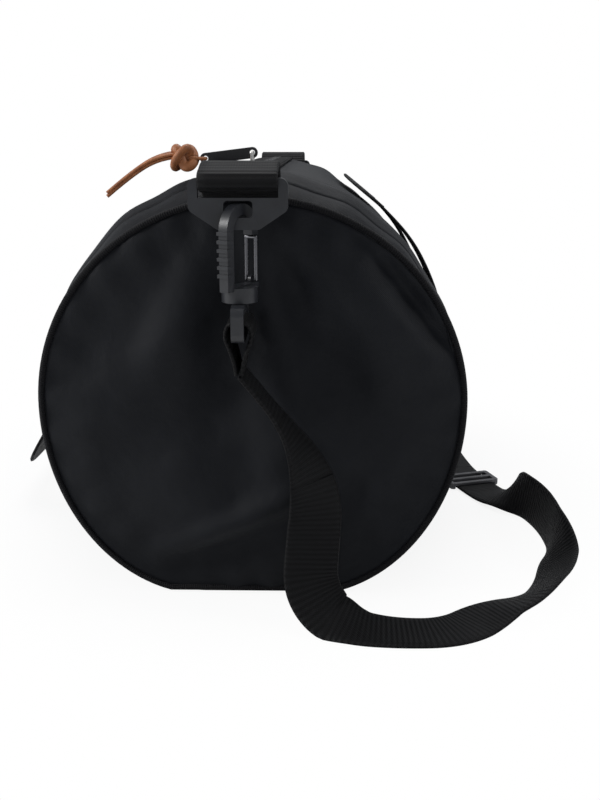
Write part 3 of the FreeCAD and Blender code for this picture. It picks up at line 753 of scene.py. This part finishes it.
def stitches(name, rows, body, radius=0.00042, length=0.0030, gap=0.0011):
    """Rows of short raised stitches, each row a line of points on a surface with its outward direction."""
    verts = []
    faces = []
    for line, out in rows:
        line = np.asarray(line, float)
        total = length_of(line)
        count = max(1, int(total / (length + gap)))
        gone = np.concatenate([[0], np.cumsum(np.linalg.norm(np.diff(line, axis=0), axis=1))])
        for k in range(count):
            s = (k + 0.5) * total / count
            centre = np.array([np.interp(s, gone, line[:, i]) for i in range(3)])
            ahead = np.array([np.interp(min(s + 1e-3, total), gone, line[:, i]) for i in range(3)]) - centre
            if np.linalg.norm(ahead) < 1e-9:
                continue
            ahead /= np.linalg.norm(ahead)
            up = np.asarray(out, float)
            up = up - ahead * (up @ ahead)
            up /= np.linalg.norm(up)
            side = np.cross(ahead, up)
            base = len(verts)
            for reach, lift, wide in ((-0.5, 0.0, 0.6), (-0.25, 0.9, 1.0), (0.25, 0.9, 1.0), (0.5, 0.0, 0.6)):
                for w in (-1, 1):
                    raised = centre + ahead * reach * length + up * lift * radius
                    verts.append(raised + side * w * wide * radius)
            for i in range(3):
                a = base + 2 * i
                faces.append((a, a + 1, a + 3, a + 2))
            faces.append((base, base + 2, base + 4, base + 6))
            faces.append((base + 1, base + 7, base + 5, base + 3))
    obj = piece(name, verts, faces, THREAD, [(v[0], v[1]) for v in verts], smooth=False)
    outward(obj)
    if body:
        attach(obj, body)
    return obj


# ---- handles ----
PIVOT_X = 0.1487
PIVOT_Z = 0.1626
SPREAD = 0.075


def handle(side, way, leg):
    """One webbing loop: two legs and a grip whose webbing turns in its own plane."""
    near = [(x, -SPREAD, z) for x, z in leg]
    far = [(x, SPREAD, z) for x, z in reversed(leg)]
    line = smooth_path(near + far, 150)
    ahead = np.gradient(line, axis=0)
    ahead /= np.linalg.norm(ahead, axis=1)[:, None]
    plane_x = leg[-1][0] - leg[-2][0]
    plane_z = leg[-1][1] - leg[-2][1]
    inward = np.array([plane_x, 0.0, plane_z])
    inward /= np.linalg.norm(inward)
    face = np.cross(inward, (0.0, 1.0, 0.0))
    ways = []
    for k, t in enumerate(ahead):
        share = k / (len(line) - 1)
        normal = np.cross(t, (0.0, 1.0, 0.0)) if share < 0.5 else np.cross(t, (0.0, -1.0, 0.0))
        level = ease(abs(share - 0.5), 0.22, 0.34)
        if np.linalg.norm(normal) > 1e-6:
            normal /= np.linalg.norm(normal)
            if normal @ face < 0:
                normal = -normal
            normal = mixed(face, normal, level)
        else:
            normal = face
        ways.append(np.cross(normal, t))
    obj = ribbon(f"handle_web_{side}", line, np.array(ways), STRAP_WIDTH * 0.99, WEB_THICK, WEBBING)
    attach(obj, f"grip_{side}")
    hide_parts(f"handle_{side}")
    for end in ("near", "far"):
        low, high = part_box(f"handle_patch_{side}_{end}")
        y = (low[1] + high[1]) / 2
        x = way * (HALF_WIDTH + 0.0018)
        line = [(x, y, z) for z in np.linspace(low[2], high[2], 12)]
        ways = np.tile((0.0, 1.0, 0.0), (len(line), 1))
        patch = ribbon(f"handle_sewn_{side}_{end}", line, ways, STRAP_WIDTH, WEB_THICK, WEBBING)
        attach(patch, f"mouth_{side}")
        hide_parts(f"handle_patch_{side}_{end}")
        skin = x + way * (WEB_THICK / 2)
        a, b = low[1] + 0.004, high[1] - 0.004
        c, d = low[2] + 0.003, high[2] - 0.003
        corners = [(skin, a, c), (skin, b, c), (skin, b, d), (skin, a, d), (skin, a, c)]
        rows = [([corners[k], corners[k + 1]], (way, 0, 0)) for k in range(4)]
        rows += [([corners[0], corners[2]], (way, 0, 0)), ([corners[1], corners[3]], (way, 0, 0))]
        stitches(f"handle_stitch_{side}_{end}", rows, f"mouth_{side}")


def roof_x(z):
    return HALF_WIDTH * math.sqrt(max(0.0, 1 - ((z - WIDEST_Z) / (ROOF_Z - WIDEST_Z)) ** 2))


def build_handles():
    up = [(PIVOT_X, PIVOT_Z), (0.1500, 0.176), (roof_x(0.205) + 0.009, 0.205), (roof_x(0.236) + 0.010, 0.236),
          (roof_x(0.262) + 0.009, 0.262), (roof_x(0.272) + 0.007, 0.274)]
    down = [(-PIVOT_X, PIVOT_Z), (-PIVOT_X - 0.010, 0.146), (-PIVOT_X - 0.019, 0.120),
            (-PIVOT_X - 0.034, 0.088), (-PIVOT_X - 0.048, 0.064), (-PIVOT_X - 0.060, 0.044)]
    handle("right", 1, up)
    handle("left", -1, down)


# ---- zip ----
COIL_PITCH = 0.0022


def coil_row(name, way, y0, y1, body):
    """Teeth of a moulded coil: rounded bars across the zip, alternating sides."""
    low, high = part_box("zip_coil_right")
    z = (low[2] + high[2]) / 2
    verts = []
    faces = []
    count = int(round((y1 - y0) / COIL_PITCH))
    shift = COIL_PITCH / 2 if way > 0 else 0
    for k in range(count):
        y = y0 + (k + 0.5) * (y1 - y0) / count
        y = min(max(y + shift - COIL_PITCH / 4, y0 + 0.0006), y1 - 0.0006)
        base = len(verts)
        for x, half, lift in ((0.0002, 0.00045, 0.0009), (0.0010, 0.00062, 0.0014), (0.0034, 0.00062, 0.0014),
                              (0.0042, 0.00045, 0.0008)):
            tooth = ((-half, -lift), (half, -lift), (half * 1.1, 0),
                     (half, lift), (-half, lift), (-half * 1.1, 0))
            for a, b in tooth:
                verts.append((way * x, y + a, z + b))
        faces += [tuple(base + i for i in range(6))[::-1], tuple(base + 18 + i for i in range(6))]
        for ring in range(3):
            for i in range(6):
                n = (i + 1) % 6
                a = base + ring * 6
                faces.append((a + i, a + n, a + 6 + n, a + 6 + i))
    obj = piece(name, verts, faces, COIL, [(v[0], v[1]) for v in verts])
    outward(obj)
    if body:
        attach(obj, body)
    return obj


def tape_strip(name, way, y0, y1, body):
    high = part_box("zip_tape_right")[1]
    steps = max(3, int((y1 - y0) / 0.004))
    xs = np.linspace(0.0036, high[0], 8)
    verts = []
    for y in np.linspace(y0, y1, steps):
        for x in xs:
            wave = 0.0003 * math.sin(y * 260 + x * 90) * ease(x, 0.006, 0.012)
            edge = 0.0006 * ease(x, 0.012, high[0])
            verts.append((way * x, y, high[2] + 0.0004 + wave - edge))
    faces = grid_faces(steps, len(xs))
    if way < 0:
        faces = [f[::-1] for f in faces]
    obj = piece(name, verts, faces, TAPE, [(v[0], v[1]) for v in verts])
    thickened(obj, 0.0012)
    outward(obj)
    if body:
        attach(obj, body)
    return obj


def build_zip():
    for side, way in (("left", -1), ("right", 1)):
        mouth = f"mouth_{side}"
        tape = tape_strip(f"zip_tape_mid_{side}", way, -LIP_RIGID, LIP_RIGID, mouth)
        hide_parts(f"zip_tape_{side}")
        coil = coil_row(f"zip_coil_mid_{side}", way, -LIP_RIGID, LIP_RIGID, mouth)
        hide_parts(f"zip_coil_{side}")
        rows = [([(way * 0.0145, -LIP_RIGID, 0.2981), (way * 0.0145, LIP_RIGID, 0.2981)], (0, 0, 1))]
        stitches(f"zip_stitch_{side}", rows, mouth)
        for end, s in (("near", -1), ("far", 1)):
            ys = sorted((s * LIP_RIGID, s * LIP_HALF))
            for make, label in ((tape_strip, "tape"), (coil_row, "coil")):
                obj = make(f"zip_{label}_{side}_{end}", way, ys[0], ys[1], None)
                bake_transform(obj)
            ys = sorted((s * (LIP_HALF + 0.0002), s * (LIP_HALF + 0.018)))
            over = tape_strip(f"zip_end_tape_{side}_{end}", way, ys[0], ys[1], "bag")
            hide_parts(f"zip_end_{side}_{end}")
            ys = sorted((s * (LIP_HALF + 0.0002), s * (LIP_HALF + 0.008)))
            coil_row(f"zip_end_coil_{side}_{end}", way, ys[0], ys[1], "bag")


def softened(node_name, name, body, mat, width, angle=30, segments=3):
    """A copy of a moulded or cast piece with its sharp edges rounded."""
    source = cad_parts[node_name]
    mesh = source.data.copy()
    mesh.name = name
    work = bmesh.new()
    work.from_mesh(mesh)
    bmesh.ops.remove_doubles(work, verts=work.verts, dist=2e-6)
    bmesh.ops.dissolve_limit(work, angle_limit=math.radians(1.0), verts=work.verts, edges=work.edges)
    sharp = [e for e in work.edges if len(e.link_faces) == 2 and e.calc_face_angle(0) > math.radians(angle)]
    bmesh.ops.bevel(work, geom=sharp, offset=width, segments=segments, profile=0.5, affect="EDGES",
                    material=-1, clamp_overlap=True)
    bmesh.ops.recalc_face_normals(work, faces=work.faces)
    work.to_mesh(mesh)
    work.free()
    mesh.materials.clear()
    mesh.materials.append(mat)
    mesh.polygons.foreach_set("use_smooth", [True] * len(mesh.polygons))
    obj = bpy.data.objects.new(name, mesh)
    bpy.context.scene.collection.objects.link(obj)
    tidy = obj.modifiers.new("facets", "WEIGHTED_NORMAL")
    tidy.keep_sharp = True
    bake(obj)
    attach(obj, body)
    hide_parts(node_name)
    return obj


def build_fittings():
    for end in ("near", "far"):
        softened(f"ring_{end}", f"ring_plate_{end}", f"ring_{end}", PLASTIC, 0.0009)
        softened(f"hook_body_{end}", f"hook_moulding_{end}", f"hook_{end}", PLASTIC, 0.0008)
        softened(f"swivel_{end}", f"swivel_eye_{end}", f"swivel_{end}", PLASTIC, 0.0013)
    softened("slider_body", "slider_shell", "zip_slider", NICKEL, 0.0004)
    softened("pull_tab", "pull_bar", "pull", LACQUER, 0.0005)
    softened("strap_adjuster", "adjuster_frame", "adjuster", GREY_PLASTIC, 0.0007)


# ---- tabs that hold the rings ----
def build_tabs():
    bar_z = 0.2905
    wrap = 0.0042
    for end, way in (("near", -1), ("far", 1)):
        x = way * -HARDWARE_X
        front = 0.288 + wrap
        points = [(x, way * 0.2445, 0.2900), (x, way * 0.2490, 0.2952), (x, way * 0.2560, 0.3010),
                  (x, way * 0.2680, 0.3022), (x, way * 0.2800, 0.2985), (x, way * (front - 0.001), 0.2958),
                  (x, way * (front + 0.0012), bar_z), (x, way * (front - 0.001), 0.2862),
                  (x, way * 0.2805, 0.2850), (x, way * 0.2690, 0.2846), (x, way * 0.2612, 0.2793)]
        line = smooth_path(points, 90)
        ways = np.tile((1.0, 0.0, 0.0), (len(line), 1))
        obj = ribbon(f"ring_tab_web_{end}", line, ways, TAB_WIDTH, WEB_THICK, WEBBING)
        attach(obj, "bag")
        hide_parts(f"ring_tab_{end}")


# ---- leather pull ----
def build_leather():
    hole = Vector((-0.03176, -0.223, 0.3034))
    knot = Vector((-0.0466, -0.223, 0.3040))
    turns = []
    for k in range(140):
        a = k / 140 * math.tau * 3
        b = k / 140 * math.tau * 2
        r = 0.0056 + 0.0022 * math.cos(a)
        turns.append((knot.x + r * math.cos(b) * 0.95, knot.y + r * math.sin(b) * 0.9,
                      knot.z + 0.0060 * math.sin(a)))
    core = tube("leather_knot", turns, 0.0034, LEATHER, closed=True, sides=12, flatten=0.8)
    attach(core, "leather")
    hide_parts("leather_pull")
    for label, off in (("a", -0.0026), ("b", 0.0026)):
        bight = smooth_path([(hole.x + 0.0002, hole.y + 0.0, hole.z), (hole.x + 0.0002, hole.y + off, hole.z),
                             (hole.x - 0.003, hole.y + off * 1.1, hole.z),
                             (knot.x + 0.004, knot.y + off, knot.z)], 24)
        strand = tube(f"leather_bight_{label}", bight, 0.0012, LEATHER, sides=8)
        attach(strand, "leather")
    tail = smooth_path([(knot.x - 0.004, knot.y, knot.z + 0.002), (-0.062, -0.2245, 0.3050),
                        (-0.080, -0.229, 0.2950), (-0.098, -0.233, 0.2800)], 50)
    ways = np.tile((0.12, 1.0, 0.25), (50, 1))
    for label, lift, width in (("upper", 0.0011, 0.0088), ("under", -0.0011, 0.0082)):
        obj = ribbon(f"leather_tail_{label}", tail + np.array([0.0, 0.0, lift]), ways, width, 0.0020, LEATHER,
                     crown=0.0004)
        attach(obj, "leather")


# ---- stage ----
def build_stage():
    bpy.ops.mesh.primitive_plane_add(size=40, location=(0, 3.0, -0.0004))
    floor = bpy.context.object
    floor.name = "floor"
    mat, tree, bsdf = shader("pale_floor", (0.86, 0.86, 0.86), 0.7)
    path = node(tree, "ShaderNodeLightPath")
    coords = node(tree, "ShaderNodeTexCoord")
    reach = node(tree, "ShaderNodeVectorMath", operation="DISTANCE")
    reach.inputs[1].default_value = (0.0, -3.0, 0.0)
    tree.links.new(coords.outputs["Object"], reach.inputs[0])
    fade = node(tree, "ShaderNodeMapRange", interpolation_type="SMOOTHSTEP")
    fade.inputs["From Min"].default_value = 0.10
    fade.inputs["From Max"].default_value = 0.40
    fade.inputs["To Min"].default_value = 0.80
    tree.links.new(reach.outputs["Value"], fade.inputs["Value"])
    seen = maths(tree, "MULTIPLY", fade.outputs[0], path.outputs["Is Camera Ray"])
    bright = node(tree, "ShaderNodeEmission", Color=(1, 1, 1, 1), Strength=1.0)
    blend = node(tree, "ShaderNodeMixShader")
    tree.links.new(seen, blend.inputs[0])
    tree.links.new(bsdf.outputs[0], blend.inputs[1])
    tree.links.new(bright.outputs[0], blend.inputs[2])
    tree.links.new(blend.outputs[0], tree.nodes["Material Output"].inputs["Surface"])
    floor.data.materials.append(mat)
    world = bpy.data.worlds.new("studio")
    bpy.context.scene.world = world
    world.use_nodes = True
    tree = world.node_tree
    plain = tree.nodes["Background"]
    plain.inputs["Color"].default_value = (0.92, 0.95, 1.0, 1)
    plain.inputs["Strength"].default_value = 0.38
    white = node(tree, "ShaderNodeBackground")
    white.inputs["Color"].default_value = (1, 1, 1, 1)
    white.inputs["Strength"].default_value = 1.0
    rays = node(tree, "ShaderNodeLightPath")
    mixer = node(tree, "ShaderNodeMixShader")
    tree.links.new(rays.outputs["Is Camera Ray"], mixer.inputs[0])
    tree.links.new(plain.outputs[0], mixer.inputs[1])
    tree.links.new(white.outputs[0], mixer.inputs[2])
    tree.links.new(mixer.outputs[0], tree.nodes["World Output"].inputs["Surface"])
    lamps = [((-2.0, -0.62, 1.3), 34, 0.6), ((2.0, -0.55, 1.5), 12, 0.6), ((0.1, 0.6, 2.2), 24, 1.3)]
    for k, (place, power, size) in enumerate(lamps):
        data = bpy.data.lights.new(f"soft_{k}", "AREA")
        data.energy = power
        data.size = size
        lamp = bpy.data.objects.new(f"soft_{k}", data)
        lamp.location = place
        lamp.rotation_euler = (Vector((0, 0, 0.15)) - Vector(place)).to_track_quat("-Z", "Y").to_euler()
        bpy.context.scene.collection.objects.link(lamp)


def build_camera():
    data = bpy.data.cameras.new("camera")
    data.sensor_width = 36
    data.lens = 42.16
    camera = bpy.data.objects.new("camera", data)
    camera.location = (0.0427, -0.8784, 0.3142)
    camera.rotation_euler = (math.radians(90) - 0.2687, 0.0, 0.0159)
    bpy.context.scene.collection.objects.link(camera)
    bpy.context.scene.camera = camera


bpy.context.scene.view_settings.view_transform = "Standard"
build_camera()
build_stage()
strap_pieces, strap_line = build_strap()
loops = [sewn_loop("near", -1), sewn_loop("far", 1)]
build_barrel()
build_end_panels()
build_handles()
build_zip()
build_fittings()
build_tabs()
build_leather()

for node_name, mat in (("hook_gate_near", STEEL), ("hook_gate_far", STEEL), ("slider_bridge", NICKEL)):
    carried = bpy.data.objects[node_name]
    carried.data.materials.clear()
    carried.data.materials.append(mat)


def declare_strap():
    """The strap is one length of webbing: the pieces beside its floor stretches are gathered into lists,
    which are not used.
    """
    for name, pieces in (("strap_fall_near", ["strap_neck_near", "strap_drop_near", "strap_mid_a"]),
                         ("strap_rest", ["strap_mid_b", "strap_drop_far", "strap_neck_far"])):
        extra = [strap_pieces[p][0] for p in pieces]
        if name == "strap_fall_near":
            extra.append(loops[0])
        if name == "strap_rest":
            extra.append(loops[1])
            extra.append(bpy.data.objects["adjuster_frame"])


declare_strap()
